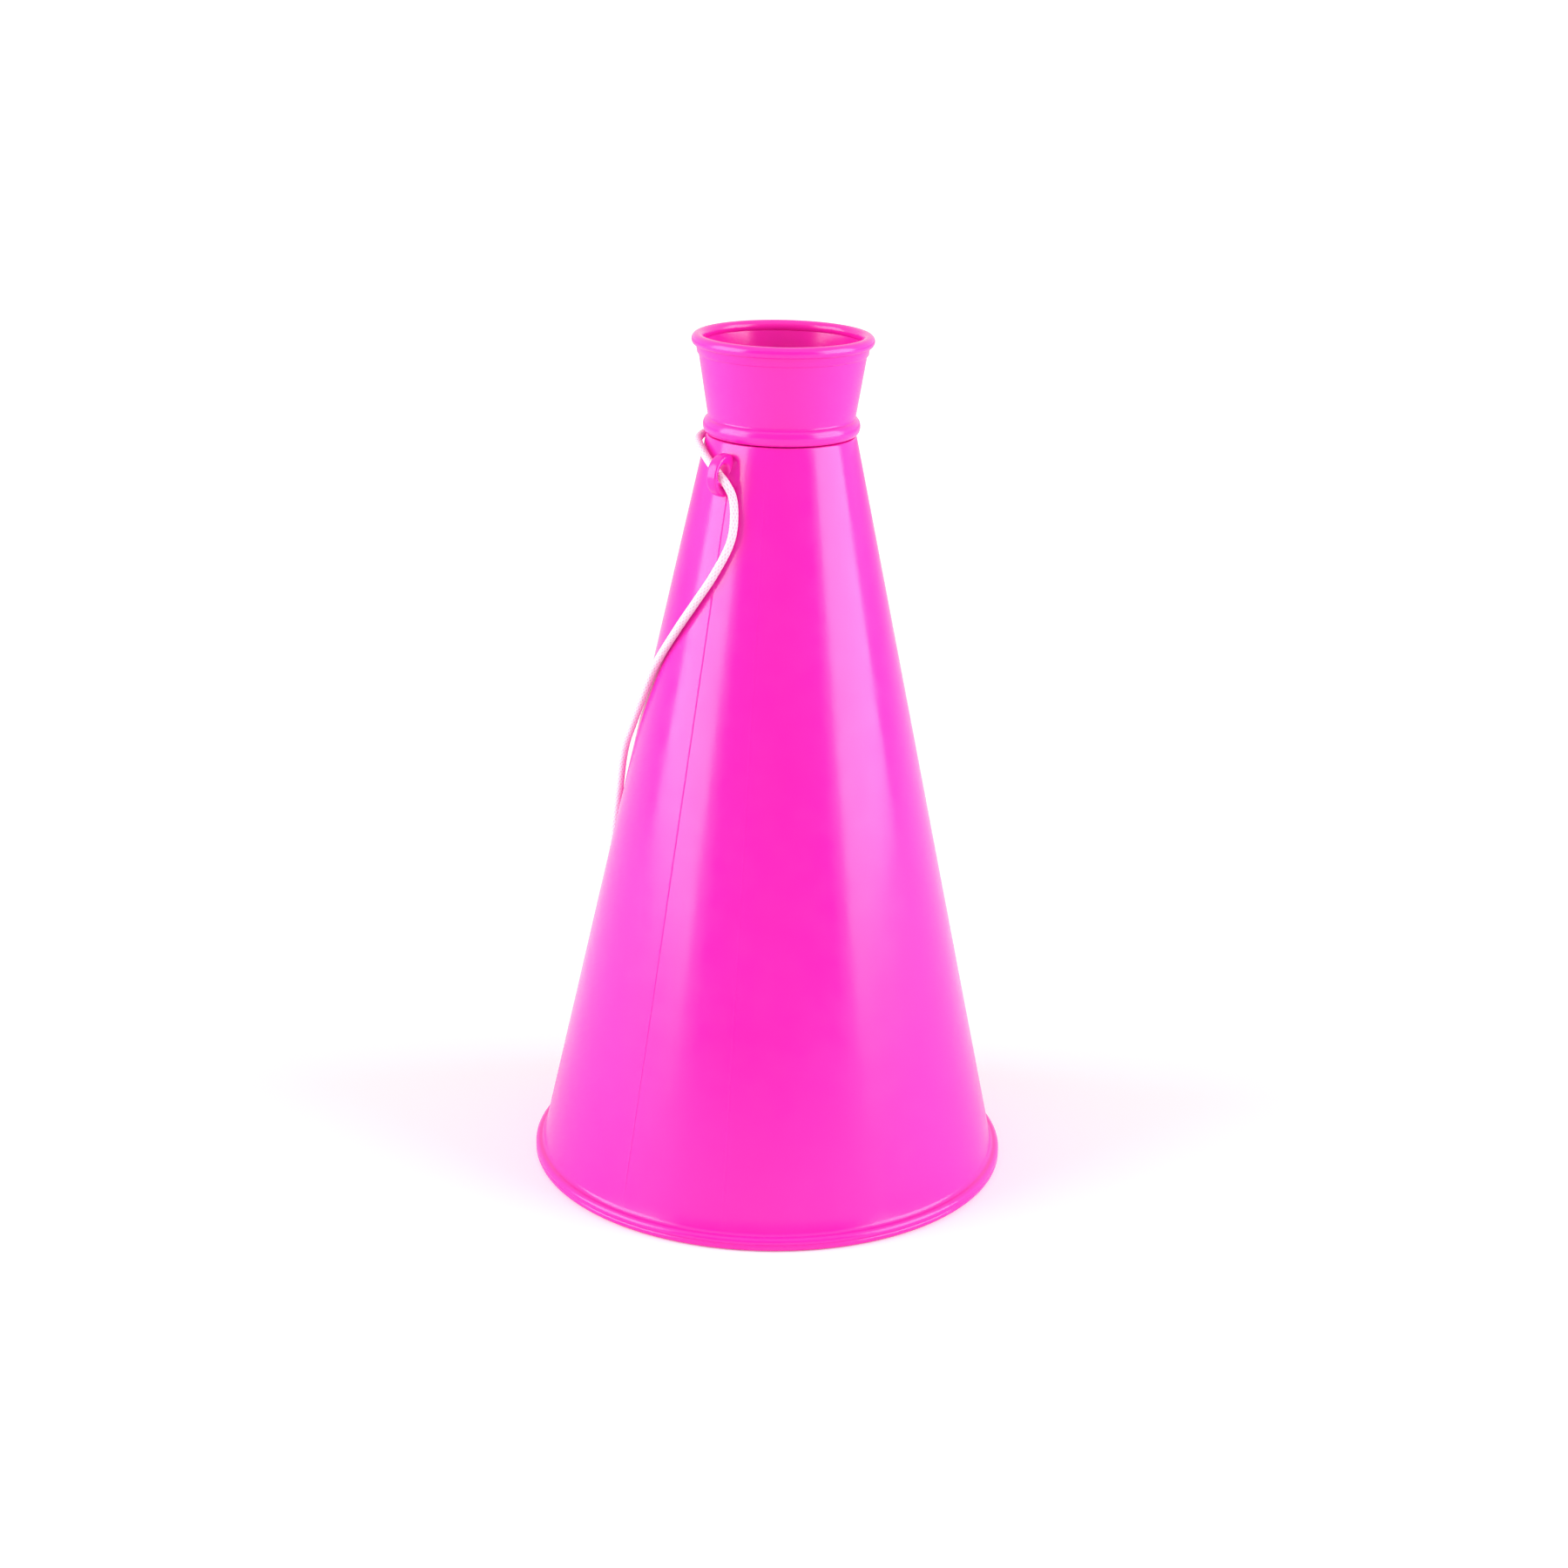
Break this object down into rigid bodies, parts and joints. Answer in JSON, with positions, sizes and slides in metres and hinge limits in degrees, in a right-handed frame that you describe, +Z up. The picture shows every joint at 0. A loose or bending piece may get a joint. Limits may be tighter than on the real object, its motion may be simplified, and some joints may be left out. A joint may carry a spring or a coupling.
{
  "type": "hand megaphone",
  "caption": "Free-standing plastic cone horn with a flared push-on mouthpiece, a rolled bell rim, moulded cord lugs and a limp carrying cord.",
  "frame": {"origin": "middle of the bell's resting plane, on the horn's axis", "axes": "+Z up the horn's axis towards the mouthpiece, -Y towards the front that the picture shows, +X to its right"},
  "size_m": [0.1192, 0.1616, 0.21],
  "materials": {
    "pink_plastic": "glossy injection-moulded plastic, bright magenta pink",
    "cord": "thin round braided cord, pale pinkish white",
    "tie_wire": "plastic-coated wire tie, off white"
  },
  "bodies": {
    "cone_body": {"bell_cone": "pink_plastic", "lanyard_neck_strand": "cord", "lanyard_front_strand": "cord", "lanyard_link_strand": "cord", "lanyard_back_strand": "cord", "lanyard_coil": "cord", "lanyard_knot": "cord", "coil_tie": "tie_wire"},
    "mouthpiece_body": {"mouthpiece": "pink_plastic"}
  },
  "joints": [
    {"name": "mouthpiece_pull", "type": "slide", "parent": "cone_body", "child": "mouthpiece_body", "axis": [0, 0, 1], "range_m": [0, 0.01]}
  ]
}
